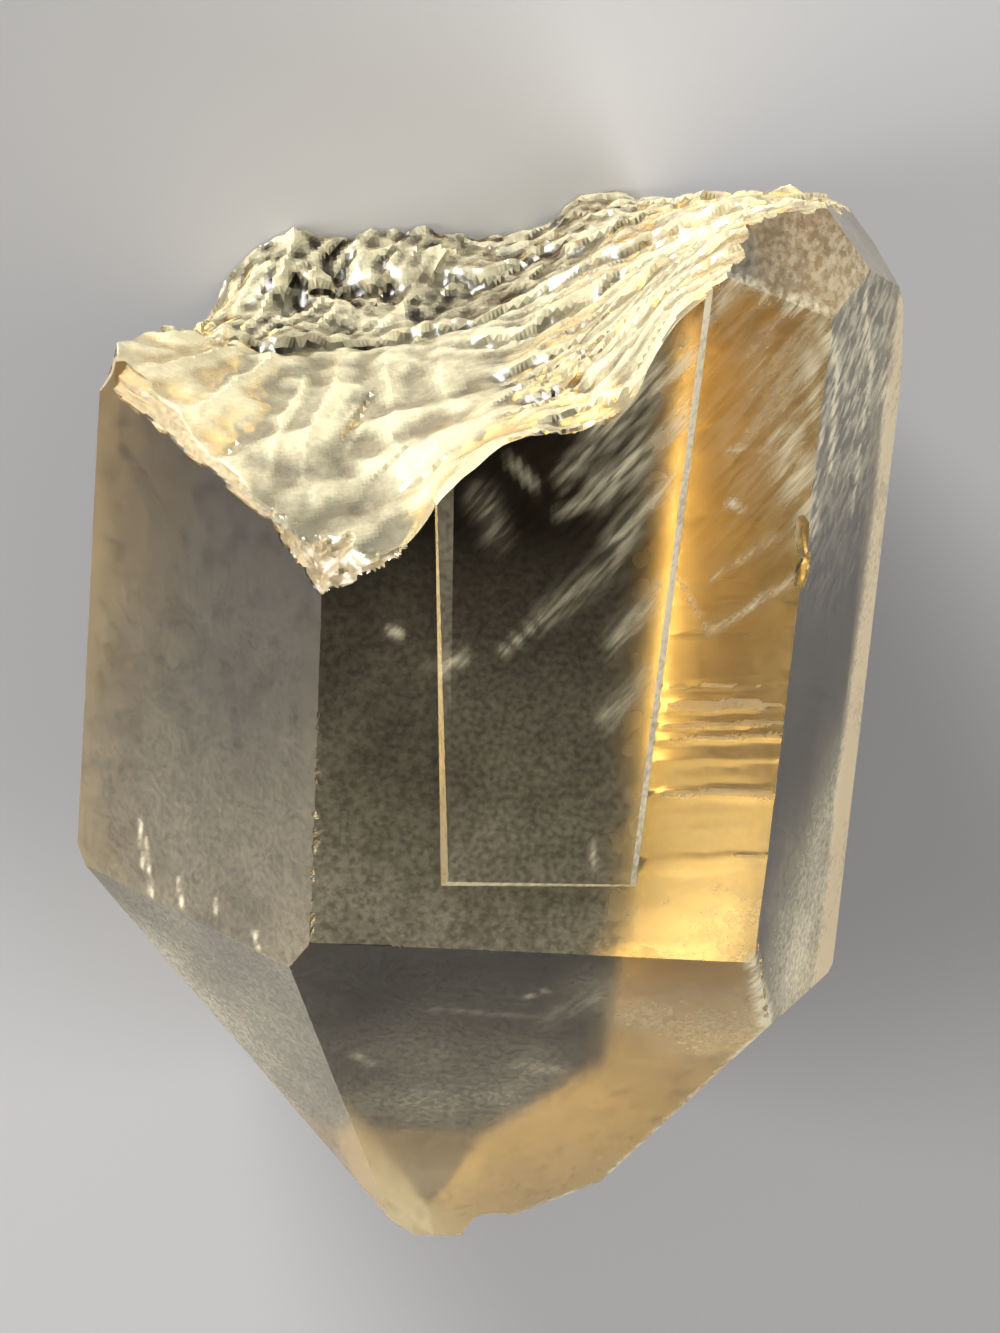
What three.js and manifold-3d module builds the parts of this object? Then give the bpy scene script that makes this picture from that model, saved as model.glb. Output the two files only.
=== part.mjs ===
// A natural citrine: one stout quartz point with six prism faces, six tip faces and a broken base.
// It lies on the prism face opposite its broad top face. +Z is up, the tip points along -Y and the
// break looks along +Y. Lengths are in millimetres and angles in degrees.
import * as THREE from 'three';
import { ConvexGeometry } from 'three/addons/geometries/ConvexGeometry.js';
import { mergeVertices } from 'three/addons/utils/BufferGeometryUtils.js';
import Module from 'manifold-3d';

const wasm = await Module();
wasm.setup();

// Everything below is measured from the crystal's long axis, which runs along Y.
// "turn" is the angle round that axis from straight up toward +X, "lean" tips a face toward the
// tip of the crystal (negative: toward the break), and "distance" is how far the face lies from
// the middle of the axis, square to the face.
const PRISM_FACES = [
  { turn: 0, lean: 0, distance: 11.5 },
  { turn: 60, lean: 1.0, distance: 13.6 },
  { turn: 120, lean: -0.4, distance: 11.6 },
  { turn: 180, lean: 0, distance: 11.5 },
  { turn: 240, lean: 0, distance: 15.0 },
  { turn: 300, lean: 2.3, distance: 13.5 },
];

// Quartz tip faces stand 38.2 degrees off the prism faces that they grow from.
const TIP_LEAN = 38.2;
const TIP_FACES = [
  { turn: -0.8, lean: TIP_LEAN, distance: 14.05 },
  { turn: 60, lean: TIP_LEAN + 0.7, distance: 17.85 },
  { turn: 120, lean: TIP_LEAN, distance: 16.9 },
  { turn: 183, lean: TIP_LEAN, distance: 19.8 },
  { turn: 240, lean: TIP_LEAN, distance: 17.1 },
  { turn: 300, lean: TIP_LEAN, distance: 16.1 },
];

// The very tip is blunted.
const BLUNT_TIP = { turn: 0, lean: 80, distance: 24.5 };

// Smooth worn facets round off the high corner beside the break.
const SHOULDER_FACES = [
  { turn: 33, lean: -58.5, distance: 22.6 },
  { turn: 80, lean: -45, distance: 22.2 },
  { turn: 88, lean: -26, distance: 20.0 },
  { turn: 88, lean: -8, distance: 16.4 },
];

// The blank that the break is cut from reaches past the highest part of the break.
const BLANK_END = { turn: 0, lean: -90, distance: 26 };

// Points that the break passes through: x across, z up from the axis, y along the crystal.
const BREAK_RIM_LEFT = [
  [-16.2, -1.8, 12.2], [-15.4, 1.2, 11.3], [-14.3, 3.1, 10.5], [-13.3, 4.7, 9.6],
  [-12.0, 6.8, 9.0], [-10.5, 8.3, 8.3], [-9.0, 9.7, 7.9],
];
const BREAK_RIM_TOP = [
  [-7.6, 10.4, 7.9], [-6.3, 11.2, 8.0], [-5.4, 11.5, 9.2], [-4.9, 11.5, 10.2], [-3.8, 11.5, 11.3],
  [-2.1, 11.5, 12.6], [-0.7, 11.5, 12.9], [0.6, 11.5, 13.2], [1.9, 11.5, 14.3], [2.9, 11.5, 17.9],
  [4.2, 11.5, 18.7], [5.4, 10.6, 19.5], [6.8, 9.0, 20.3], [8.4, 8.0, 20.8],
];
const BREAK_RIM_BACK = [
  [-14.1, -5.6, 11.9], [-12.4, -8.4, 11.5], [-11.5, -9.9, 11.5], [-10.8, -11.2, 12.9],
  [-9.1, -11.5, 14.7], [-7.7, -11.5, 15.3], [-5.6, -11.5, 15.0], [-4.0, -11.5, 15.5],
  [-2.0, -11.5, 15.4], [-0.8, -11.5, 15.0], [1.2, -11.5, 15.4], [3.0, -11.5, 16.5],
  [4.4, -11.5, 17.3], [6.7, -11.5, 17.0], [8.4, -8.6, 17.9], [9.9, -5.7, 18.9],
  [11.2, -3.6, 19.4], [12.1, -1.9, 19.5], [13.8, 1.6, 19.6],
];
const BREAK_INSIDE = [
  [-12.6, -3.0, 11.6], [-12.0, 1.0, 10.7], [-10.0, 4.5, 9.9], [-9.2, -6.5, 11.9],
  [-8.6, 0.0, 10.8], [-7.4, 6.0, 9.7], [-6.1, -6.5, 12.2], [-5.6, 8.6, 9.6], [-5.2, 2.0, 11.0],
  [-4.4, -2.6, 12.2], [-2.3, -5.4, 12.8], [-2.2, 6.5, 12.3], [-1.6, 1.2, 12.7],
  [0.8, 8.2, 13.9], [1.3, 3.4, 14.4], [1.2, -2.2, 14.7], [1.4, -6.4, 14.9],
  [3.4, 8.0, 17.6], [3.9, 2.4, 17.2], [4.6, -2.2, 16.8], [4.6, -7.2, 17.0],
  [6.2, 5.6, 19.6], [6.8, -1.4, 18.2], [9.2, 3.6, 20.2], [10.4, 0.4, 19.7],
];

// Ledges on the break run from side to side. Each drops toward the top face across its line
// z = start + slope * x, between two ends in x.
const LEDGES = [
  { start: -8.6, slope: 0.1, from: -10.0, to: 6.0, drop: 0.8 },
  { start: -5.3, slope: 0.02, from: -16.0, to: -1.0, drop: 0.9 },
  { start: -4.6, slope: 0.2, from: -3.5, to: 10.0, drop: 0.8 },
  { start: -1.2, slope: 0.24, from: -3.0, to: 10.5, drop: 0.7 },
  { start: 2.4, slope: 0.32, from: -2.5, to: 9.5, drop: 0.6 },
  { start: 6.2, slope: 0.3, from: -2.0, to: 7.5, drop: 0.5 },
];
const LEDGE_WIDTH = 0.8;
const LEDGE_RECOVERY_WIDTH = 4.0;
const LEDGE_END_FADE = 2.0;

// Shell-like ribs spread over the smooth hollow of the break from the struck point.
const RIB_CENTRE = { x: -6.0, z: 13.5 };
const RIB_SPACING = 3.1;
const RIB_HEIGHT = 0.16;
const RIB_FADE_START = 9;
const RIB_FADE_END = 15;

// Small pits on the rough knob at the back of the break.
const PITS = [
  { x: -6.2, z: -9.6, radius: 1.0, depth: 0.7 },
  { x: -4.3, z: -8.7, radius: 0.8, depth: 0.6 },
  { x: -7.9, z: -8.6, radius: 0.8, depth: 0.5 },
];

// The break is rough at the back and smoother toward the top face, with coarse and fine grain.
const ROUGHNESS_BACK = 0.34;
const ROUGHNESS_FRONT = 0.1;
const ROUGHNESS_FADE_FROM = -7;
const ROUGHNESS_FADE_TO = -1;
const COARSE_GRAIN = { perMillimetre: 0.9, weight: 1, seed: 1 };
const FINE_GRAIN = { perMillimetre: 2.1, weight: 0.5, seed: 2 };

// The break is faceted on an uneven grid. The grid reaches past the crystal by the margin.
const BREAK_GRID = 0.65;
const BREAK_GRID_SHIFT = 0.14;
const BREAK_MARGIN = 1.4;
const GRID_SEED_X = 5;
const GRID_SEED_Z = 9;

// A chipped facet takes off the corner where the break, the top face and the left face meet. Its
// outline is [x, y, z], and the chip was knocked off toward "outward".
const CORNER_CHIP = {
  outline: [
    [-9.3, 5.5, 11.7], [-6.1, 7.3, 11.8], [-6.0, 8.4, 10.9], [-9.0, 8.2, 9.3], [-10.6, 8.8, 7.9],
    [-11.4, 8.1, 8.1],
  ],
  outward: [-1.1, 1.9, 2.0],
};
// A narrow chipped strip follows the break along the left face, down to that corner.
const RIM_CHIP = {
  outline: [[-16.3, 10.5, -0.3], [-11.1, 7.9, 8.3], [-10.6, 8.9, 8.1], [-15.7, 11.7, -0.5]],
  outward: [-1.6, 0.7, 0.9],
};

// A growth step raises the middle panel of the top face. The corners of its foot and of its top
// are x and y. It is rooted a little below the face.
const STEP_HEIGHT = 0.4;
const STEP_FOOT = [[-5.7, 15.0], [-3.7, -5.5], [3.9, -5.3], [4.2, 4.6], [4.75, 19.6]];
const STEP_TOP = [[-4.9, 15.0], [-3.5, -5.2], [3.4, -5.0], [3.6, 4.6], [4.2, 19.6]];
const STEP_ROOT = 0.6;

// Small scoops knocked out of edges and corners.
const EDGE_CHIPS = [
  { at: [2.0, -24.8, -0.8], radii: [1.3, 1.15, 2.2], turn: 10 },
  { at: [9.5, 8.3, 11.2], radii: [0.7, 1.6, 0.8], turn: 8 },
  { at: [-8.9, 3.0, 12.0], radii: [0.55, 1.3, 0.7], turn: -6 },
  { at: [-8.8, -1.9, 12.0], radii: [0.5, 1.6, 0.7], turn: 5 },
  { at: [-8.75, -5.4, 12.0], radii: [0.6, 1.2, 0.7], turn: -4 },
  { at: [-16.9, -9.9, -1.9], radii: [1.2, 1.5, 2.6], turn: 24 },
  { at: [14.8, -12.4, 1.4], radii: [1.0, 0.9, 1.6], turn: -20 },
  { at: [10.8, -12.2, 9.3], radii: [0.7, 0.7, 0.9], turn: 30 },
  { at: [-16.9, 11.9, -1.6], radii: [0.9, 1.9, 2.4], turn: -14 },
];

const CITRINE_COLOUR = 0xc9a467;
const CITRINE_ROUGHNESS = 0.15;

const PLANE_TOLERANCE = 1e-6;
const MERGE_DISTANCE = 1e-5;

const radians = THREE.MathUtils.degToRad;

// The outward normal of a face that is given by its turn and lean.
function faceNormal(face) {
  const turn = radians(face.turn);
  const lean = radians(face.lean);
  return new THREE.Vector3(
    Math.cos(lean) * Math.sin(turn),
    -Math.sin(lean),
    Math.cos(lean) * Math.cos(turn),
  );
}

// The corners of the convex solid that lies behind every one of the faces.
function convexCorners(faces) {
  const planes = faces.map((face) => new THREE.Plane(faceNormal(face), -face.distance));
  const corners = [];
  const matrix = new THREE.Matrix3();
  for (let i = 0; i < planes.length; i += 1) {
    for (let j = i + 1; j < planes.length; j += 1) {
      for (let k = j + 1; k < planes.length; k += 1) {
        const [a, b, c] = [planes[i], planes[j], planes[k]];
        matrix.set(
          a.normal.x, a.normal.y, a.normal.z,
          b.normal.x, b.normal.y, b.normal.z,
          c.normal.x, c.normal.y, c.normal.z,
        );
        if (Math.abs(matrix.determinant()) > PLANE_TOLERANCE) {
          const corner = new THREE.Vector3(-a.constant, -b.constant, -c.constant);
          corner.applyMatrix3(matrix.invert());
          if (planes.every((plane) => plane.distanceToPoint(corner) < PLANE_TOLERANCE)) {
            corners.push(corner);
          }
        }
      }
    }
  }
  return corners;
}

// A manifold solid from a three.js geometry.
function toSolid(geometry) {
  const bare = new THREE.BufferGeometry();
  bare.setAttribute('position', geometry.getAttribute('position').clone());
  bare.setIndex(geometry.getIndex());
  const merged = mergeVertices(bare, MERGE_DISTANCE);
  return new wasm.Manifold(new wasm.Mesh({
    numProp: 3,
    vertProperties: new Float32Array(merged.getAttribute('position').array),
    triVerts: new Uint32Array(merged.getIndex().array),
  }));
}

// The convex solid round a set of corners.
function convexSolid(corners) {
  return toSolid(new ConvexGeometry(corners));
}

// Rises smoothly from 0 to 1 while the value goes between two limits.
function rise(from, to, value) {
  return THREE.MathUtils.smoothstep(value, from, to);
}

// A repeatable value from -1 to 1 for each whole-number pair and seed.
function scatter(i, j, seed) {
  const value = Math.sin(i * 127.1 + j * 311.7 + seed * 74.7) * 43758.5453;
  return (value - Math.floor(value)) * 2 - 1;
}

// Smooth grain between those values.
function grain(x, z, kind) {
  const along = x * kind.perMillimetre;
  const up = z * kind.perMillimetre;
  const i = Math.floor(along);
  const j = Math.floor(up);
  const u = rise(0, 1, along - i);
  const v = rise(0, 1, up - j);
  const low = THREE.MathUtils.lerp(scatter(i, j, kind.seed), scatter(i + 1, j, kind.seed), u);
  const high = THREE.MathUtils.lerp(
    scatter(i, j + 1, kind.seed),
    scatter(i + 1, j + 1, kind.seed),
    u,
  );
  return kind.weight * THREE.MathUtils.lerp(low, high, v);
}

// A thin-plate surface through the points [x, z, y]: returns y as a function of x and z.
function throughPoints(points) {
  const count = points.length;
  const size = count + 3;
  const kernel = (dx, dz) => {
    const squared = dx * dx + dz * dz;
    return squared === 0 ? 0 : squared * Math.log(squared);
  };
  const rows = points.map(([x, z, y]) => {
    const row = points.map(([px, pz]) => kernel(x - px, z - pz));
    return [...row, 1, x, z, y];
  });
  rows.push([...points.map(() => 1), 0, 0, 0, 0]);
  rows.push([...points.map(([x]) => x), 0, 0, 0, 0]);
  rows.push([...points.map(([, z]) => z), 0, 0, 0, 0]);
  for (let column = 0; column < size; column += 1) {
    let best = column;
    for (let row = column + 1; row < size; row += 1) {
      if (Math.abs(rows[row][column]) > Math.abs(rows[best][column])) {
        best = row;
      }
    }
    [rows[column], rows[best]] = [rows[best], rows[column]];
    for (let row = 0; row < size; row += 1) {
      if (row !== column) {
        const factor = rows[row][column] / rows[column][column];
        for (let k = column; k <= size; k += 1) {
          rows[row][k] -= factor * rows[column][k];
        }
      }
    }
  }
  const weights = rows.map((row, index) => row[size] / row[index]);
  return (x, z) => {
    let y = weights[count] + weights[count + 1] * x + weights[count + 2] * z;
    points.forEach(([px, pz], index) => {
      y += weights[index] * kernel(x - px, z - pz);
    });
    return y;
  };
}

const breakBase = throughPoints([
  ...BREAK_RIM_LEFT, ...BREAK_RIM_TOP, ...BREAK_RIM_BACK, ...BREAK_INSIDE,
]);

function ledgeRelief(x, z, ledge) {
  const past = z - ledge.start - ledge.slope * x;
  const between = rise(ledge.from, ledge.from + LEDGE_END_FADE, x)
    * (1 - rise(ledge.to - LEDGE_END_FADE, ledge.to, x));
  const drop = rise(-LEDGE_WIDTH / 2, LEDGE_WIDTH / 2, past);
  const recovery = rise(-LEDGE_RECOVERY_WIDTH / 2, LEDGE_RECOVERY_WIDTH / 2, past);
  return ledge.drop * between * (recovery - drop);
}

function ribRelief(x, z) {
  const radius = Math.hypot(x - RIB_CENTRE.x, z - RIB_CENTRE.z);
  const fade = 1 - rise(RIB_FADE_START, RIB_FADE_END, radius);
  return RIB_HEIGHT * fade * Math.sin((2 * Math.PI * radius) / RIB_SPACING);
}

function pitRelief(x, z, pit) {
  return -pit.depth * Math.exp(-((x - pit.x) ** 2 + (z - pit.z) ** 2) / pit.radius ** 2);
}

// How far along the crystal the break stands at x and z.
function breakHeight(x, z) {
  let y = breakBase(x, z) + ribRelief(x, z);
  LEDGES.forEach((ledge) => {
    y += ledgeRelief(x, z, ledge);
  });
  PITS.forEach((pit) => {
    y += pitRelief(x, z, pit);
  });
  const front = rise(ROUGHNESS_FADE_FROM, ROUGHNESS_FADE_TO, z);
  const roughness = THREE.MathUtils.lerp(ROUGHNESS_BACK, ROUGHNESS_FRONT, front);
  return y + roughness * (grain(x, z, COARSE_GRAIN) + grain(x, z, FINE_GRAIN));
}

// The solid that is cut away above the break: its lower side is the broken surface.
function breakCutter(blank) {
  const box = new THREE.Box3().setFromPoints(blank).expandByScalar(BREAK_MARGIN);
  const columns = Math.ceil((box.max.x - box.min.x) / BREAK_GRID);
  const rows = Math.ceil((box.max.z - box.min.z) / BREAK_GRID);
  const positions = [];
  const indices = [];
  const level = (columns + 1) * (rows + 1);
  const vertex = (i, j, top) => j * (columns + 1) + i + (top ? level : 0);
  for (const top of [false, true]) {
    for (let j = 0; j <= rows; j += 1) {
      for (let i = 0; i <= columns; i += 1) {
        const x = box.min.x + i * BREAK_GRID + BREAK_GRID_SHIFT * scatter(i, j, GRID_SEED_X);
        const z = box.min.z + j * BREAK_GRID + BREAK_GRID_SHIFT * scatter(i, j, GRID_SEED_Z);
        positions.push(x, top ? box.max.y : breakHeight(x, z), z);
      }
    }
  }
  const quad = (a, b, c, d) => {
    indices.push(a, b, c, a, c, d);
  };
  for (let j = 0; j < rows; j += 1) {
    for (let i = 0; i < columns; i += 1) {
      const [a, b] = [vertex(i, j, false), vertex(i + 1, j, false)];
      const [c, d] = [vertex(i + 1, j + 1, false), vertex(i, j + 1, false)];
      if ((i + j) % 2 === 0) {
        quad(a, b, c, d);
      } else {
        quad(b, c, d, a);
      }
      quad(vertex(i, j, true), vertex(i, j + 1, true), vertex(i + 1, j + 1, true),
        vertex(i + 1, j, true));
    }
  }
  for (let i = 0; i < columns; i += 1) {
    quad(vertex(i, 0, false), vertex(i, 0, true), vertex(i + 1, 0, true), vertex(i + 1, 0, false));
    quad(vertex(i, rows, false), vertex(i + 1, rows, false), vertex(i + 1, rows, true),
      vertex(i, rows, true));
  }
  for (let j = 0; j < rows; j += 1) {
    quad(vertex(0, j, false), vertex(0, j + 1, false), vertex(0, j + 1, true), vertex(0, j, true));
    quad(vertex(columns, j, false), vertex(columns, j, true), vertex(columns, j + 1, true),
      vertex(columns, j + 1, false));
  }
  const geometry = new THREE.BufferGeometry();
  geometry.setAttribute('position', new THREE.Float32BufferAttribute(positions, 3));
  geometry.setIndex(indices);
  return toSolid(geometry);
}

// The raised middle panel of the top face.
function growthStep() {
  const top = PRISM_FACES[0].distance;
  const foot = STEP_FOOT.map(([x, y]) => new THREE.Vector3(x, y, top));
  const root = STEP_FOOT.map(([x, y]) => new THREE.Vector3(x, y, top - STEP_ROOT));
  const crown = STEP_TOP.map(([x, y]) => new THREE.Vector3(x, y, top + STEP_HEIGHT));
  return convexSolid([...root, ...foot, ...crown]);
}

// A chip with a flat floor: its outline, swept outward.
function flatChip(chip) {
  const outward = new THREE.Vector3(...chip.outward);
  const floor = chip.outline.map((corner) => new THREE.Vector3(...corner));
  const roof = floor.map((corner) => corner.clone().add(outward));
  return convexSolid([...floor, ...roof]);
}

// A rounded scoop, turned about the vertical.
function edgeChip(chip) {
  const geometry = new THREE.IcosahedronGeometry(1, 1);
  geometry.scale(...chip.radii);
  geometry.rotateZ(radians(chip.turn));
  geometry.translate(...chip.at);
  return toSolid(geometry);
}

const blank = convexCorners([
  ...PRISM_FACES, ...TIP_FACES, BLUNT_TIP, ...SHOULDER_FACES, BLANK_END,
]);
const crystal = convexSolid(blank)
  .add(growthStep())
  .subtract(breakCutter(blank))
  .subtract(flatChip(CORNER_CHIP))
  .subtract(flatChip(RIM_CHIP))
  .subtract(wasm.Manifold.union(EDGE_CHIPS.map(edgeChip)));

const result = crystal.getMesh();
const geometry = new THREE.BufferGeometry();
geometry.setAttribute('position', new THREE.Float32BufferAttribute(result.vertProperties, 3));
geometry.setIndex(Array.from(result.triVerts));

// The crystal is centred over the origin and rests on its lowest face.
geometry.computeBoundingBox();
const { min, max } = geometry.boundingBox;
geometry.translate(-(min.x + max.x) / 2, -(min.y + max.y) / 2, -min.z);

const citrine = new THREE.MeshStandardMaterial({
  color: CITRINE_COLOUR,
  roughness: CITRINE_ROUGHNESS,
  metalness: 0,
  flatShading: true,
});

const crystalMesh = new THREE.Mesh(geometry, citrine);
crystalMesh.name = 'citrine_crystal';

const part = new THREE.Group();
part.name = 'citrine';
part.add(crystalMesh);

export default part;
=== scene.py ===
import math

import bmesh
import bpy
import numpy as np
from mathutils import Matrix, Vector


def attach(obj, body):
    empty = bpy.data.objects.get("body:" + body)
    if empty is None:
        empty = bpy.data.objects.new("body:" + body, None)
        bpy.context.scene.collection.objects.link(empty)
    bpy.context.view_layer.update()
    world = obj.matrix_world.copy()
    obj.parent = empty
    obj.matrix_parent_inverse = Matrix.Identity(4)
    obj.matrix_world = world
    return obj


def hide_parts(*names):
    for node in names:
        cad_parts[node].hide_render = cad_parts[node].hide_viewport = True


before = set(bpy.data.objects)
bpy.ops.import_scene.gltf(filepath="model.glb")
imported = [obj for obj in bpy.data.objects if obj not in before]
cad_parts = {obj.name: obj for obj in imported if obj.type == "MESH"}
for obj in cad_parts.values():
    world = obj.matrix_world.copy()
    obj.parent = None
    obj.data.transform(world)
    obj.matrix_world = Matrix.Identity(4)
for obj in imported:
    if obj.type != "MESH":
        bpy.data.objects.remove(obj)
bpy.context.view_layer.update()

MM = 0.001

# The crystal is laid out in millimetres from its long axis, which runs along Y, as its CAD solid
# is: "turn" is the angle round the axis from straight up toward +X, "lean" tips a face toward the
# tip, and "distance" is how far the face lies from the middle of the axis.
PRISM_FACES = {
    "top": (0, 0, 11.5),
    "right": (60, 1.0, 13.6),
    "low_right": (120, -0.4, 11.6),
    "under": (180, 0, 11.5),
    "low_left": (240, 0, 15.0),
    "left": (300, 2.3, 13.5),
}
TIP_FACES = {
    "tip_top": (-0.8, 38.2, 14.05),
    "tip_right": (60, 38.9, 17.85),
    "tip_low_right": (120, 38.2, 16.9),
    "tip_under": (183, 38.2, 19.8),
    "tip_low_left": (240, 38.2, 17.1),
    "tip_left": (300, 38.2, 16.1),
    "blunt_tip": (0, 80, 24.5),
}
SHOULDER_FACES = {
    "shoulder": (33, -58.5, 22.6),
    "shoulder_side": (80, -45, 22.2),
    "shoulder_low": (88, -26, 20.0),
    "shoulder_flank": (88, -8, 16.4),
}
FACES = {**PRISM_FACES, **TIP_FACES, **SHOULDER_FACES}
BLANK_END = (0, -90, 26)
# The faces that carry fine marks, and the steps of the grids along and across a face.
FINE_FACES = ("top", "right", "left", "tip_top")
FINE_STEPS = (0.14, 0.22)
PLAIN_STEPS = (0.4, 0.35)
# How far a face's grid reaches past its corners, and how far its last row then runs on.
GRID_MARGIN = 0.4
GRID_RUN_ON = 60
# Below these, a determinant counts as zero, a point is on a plane, and two corners are one.
TINY = 1e-6
ON_PLANE = 1e-4
SAME_CORNER = 1e-5
# A face is cut out of a blank that is a little larger, by a slab of this thickness.
GROWTH = 0.2
SLAB_THICKNESS = 30
# A face's waviness: how far it lies below its plane, its swing and its highest rise.
WAVE_SINK = 0.014
WAVE_SWING = 0.010
WAVE_TOP = 0.012
# How it is stretched along and across a face, and how many waves there are per mm.
WAVE_STRETCH = (0.5, 0.35)
WAVE_PER_MM = 0.5
# The faint growth lines on the prism faces: depth, how little they change across, and how many
# there are per mm. Then the same of the finer ones, and how deep these are beside the others.
LINE_DEPTH = 0.012
LINE_CHANGE = 0.05
LINES_PER_MM = 1.3
FINE_LINE_CHANGE = 0.09
FINE_LINES_PER_MM = 2.9
FINE_LINE_SHARE = 0.8
# They fade in patches: how deep the faintest are, how many patches per mm, and their soft edges.
FAINTEST_LINES = 0.35
LINE_PATCHES_PER_MM = 0.16
LINE_PATCH_EDGE = (-0.2, 0.6)
# The deep growth lines on the right part of the top: depth, how many per mm, their slant, and
# where they begin and end across the face and along the crystal.
STRIA_DEPTH = 0.06
STRIA_PER_MM = 3.3
STRIA_SLANT = 0.07
STRIA_SEED = 7
STRIA_EDGE = (0.0, 0.5)
STRIA_LEFT = (3.4, 4.8)
STRIA_LOW = (-5.5, -3.8)
STRIA_HIGH = (0.8, 11)
# From the middle of the axis to the middle of the part's underside.
AXIS_SHIFT = np.array([1.0365, 2.4008, 11.5])

# What the break passes through: x across, z up from the axis, y along the crystal.
BREAK_RIM_LEFT = [
    (-16.2, -1.8, 12.2), (-15.4, 1.2, 11.3), (-14.3, 3.1, 10.5), (-13.3, 4.7, 9.6),
    (-12.0, 6.8, 9.0), (-10.5, 8.3, 8.3), (-9.0, 9.7, 7.9),
]
BREAK_RIM_TOP = [
    (-7.6, 10.4, 7.9), (-6.3, 11.2, 8.0), (-5.4, 11.5, 9.2), (-4.9, 11.5, 10.2),
    (-3.8, 11.5, 11.3), (-2.1, 11.5, 12.6), (-0.7, 11.5, 12.9), (0.6, 11.5, 13.2),
    (1.9, 11.5, 14.3), (2.9, 11.5, 16.7), (4.2, 11.5, 18.2), (5.4, 10.6, 19.3),
    (6.8, 9.0, 20.3), (8.4, 8.0, 20.8),
]
BREAK_RIM_BACK = [
    (-14.1, -5.6, 11.9), (-12.4, -8.4, 11.5), (-11.5, -9.9, 11.5), (-10.8, -11.2, 12.9),
    (-9.1, -11.5, 14.7), (-7.7, -11.5, 15.3), (-5.6, -11.5, 15.0), (-4.0, -11.5, 15.5),
    (-2.0, -11.5, 15.4), (-0.8, -11.5, 15.0), (1.2, -11.5, 15.4), (3.0, -11.5, 16.5),
    (4.4, -11.5, 17.3), (6.7, -11.5, 17.0), (8.4, -8.6, 17.9), (9.9, -5.7, 18.9),
    (11.2, -3.6, 19.4), (12.1, -1.9, 19.5), (13.8, 1.6, 19.6),
]
BREAK_INSIDE = [
    (-12.6, -3.0, 11.6), (-12.0, 1.0, 10.7), (-10.0, 4.5, 9.9), (-9.2, -6.5, 11.9),
    (-8.6, 0.0, 10.8), (-7.4, 6.0, 9.7), (-6.1, -6.5, 12.2), (-5.6, 8.6, 9.6), (-5.2, 2.0, 11.0),
    (-4.4, -2.6, 12.2), (-2.3, -5.4, 12.8), (-2.2, 6.5, 12.3), (-1.6, 1.2, 12.7),
    (0.8, 8.2, 13.9), (1.3, 3.4, 14.4), (1.2, -2.2, 14.7), (1.4, -6.4, 14.9),
    (3.4, 8.0, 17.6), (3.9, 2.4, 17.2), (4.6, -2.2, 16.8), (4.6, -7.2, 17.0),
    (6.2, 5.6, 19.6), (6.8, -1.4, 18.2), (9.2, 3.6, 20.2), (10.4, 0.4, 19.7),
]
# The grid of the break: its step, its reach in x and in z, and how far its cutter runs on.
BREAK_STEP = 0.16
BREAK_X = (-17.6, 16.2)
BREAK_Z = (-12.8, 13.2)
BREAK_RUN_ON = 40
# Ledges: start, slope, from x, to x, drop.
LEDGES = [
    (-8.6, 0.1, -10.0, 6.0, 0.4), (-5.3, 0.02, -16.0, -1.0, 0.55), (-4.6, 0.2, -3.5, 10.0, 0.6),
    (-1.2, 0.24, -3.0, 10.5, 0.7), (2.4, 0.32, -2.5, 9.5, 0.6), (6.2, 0.3, -2.0, 7.5, 0.5),
]
LEDGE_WIDTH = 0.8
LEDGE_RECOVERY_WIDTH = 4.0
LEDGE_END_FADE = 2.0
# How far the line of a ledge wanders, how often per mm, and its seed.
LEDGE_WANDER = 0.5
LEDGE_WANDER_PER_MM = 0.55
LEDGE_SEED = 40
RIB_CENTRE = (-6.0, 13.5)
RIB_SPACING = 3.1
RIB_HEIGHT = 0.11
RIB_FADE = (9, 15)
# Folds of the hollow: from x, z, to x, z, height, width. Those below 0 are creases.
FOLDS = [
    (-10.8, -4.6, -15.0, 0.6, 0.38, 0.7), (-9.2, -4.2, -13.4, 3.4, 0.42, 1.0),
    (-8.6, -2.0, -11.0, 6.0, 0.26, 0.7), (-6.9, -3.4, -9.6, 7.2, 0.40, 1.2),
    (-5.2, -3.6, -6.0, 8.6, 0.34, 1.2), (-3.0, -3.4, -3.9, 6.4, 0.26, 1.3),
    (-6.3, 0.4, -7.5, 4.4, -0.40, 0.22),
    (-4.2, 7.8, -6.4, 8.4, -0.30, 0.18), (-5.4, 6.0, -7.2, 7.2, -0.25, 0.16),
    (-12.0, 3.6, -12.6, 4.8, -0.25, 0.2), (-14.4, -4.4, -9.6, -4.7, 0.45, 0.6),
]
# The width of a fold's steep side, as a share of the other side's.
FOLD_STEEP_SIDE = 0.45
# Over which shares of its length a fold rises, and over which it dies out.
FOLD_START = (-0.15, 0.25)
FOLD_END = (0.7, 1.15)
# A fold starts at this share of its width and gains this share on its way.
FOLD_FIRST_WIDTH = 0.6
FOLD_WIDTH_GAIN = 0.6
# How far the line of a fold wanders, how often per mm, and the seed.
FOLD_WANDER = [(0.35, 0.45, 58), (0.12, 1.4, 59)]
# The ragged patch: x, z, half its width, half its length.
RAGGED = (0.7, 6.0, 1.7, 3.2)
# How far around a point its surroundings are looked at, and how much farther in the hollow.
CREST_REACH = 0.4
HOLLOW_EXTRA_REACH = 1.5
# Pits: x, z, radius, depth.
PITS = [(-6.2, -9.6, 1.0, 0.7), (-4.3, -8.7, 0.8, 0.6), (-7.9, -8.6, 0.8, 0.5)]
# The unevenness of the back and of the front of the break, and where one turns into the other.
ROUGHNESS_BACK = 0.22
ROUGHNESS_FRONT = 0.1
FRONT_START = (-7, -1)
# Its coarse and its fine grain, each per mm and with a seed, and the share of the fine one.
COARSE_GRAIN = (0.9, 1)
FINE_GRAIN = (2.1, 2)
FINE_GRAIN_SHARE = 0.5
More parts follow.
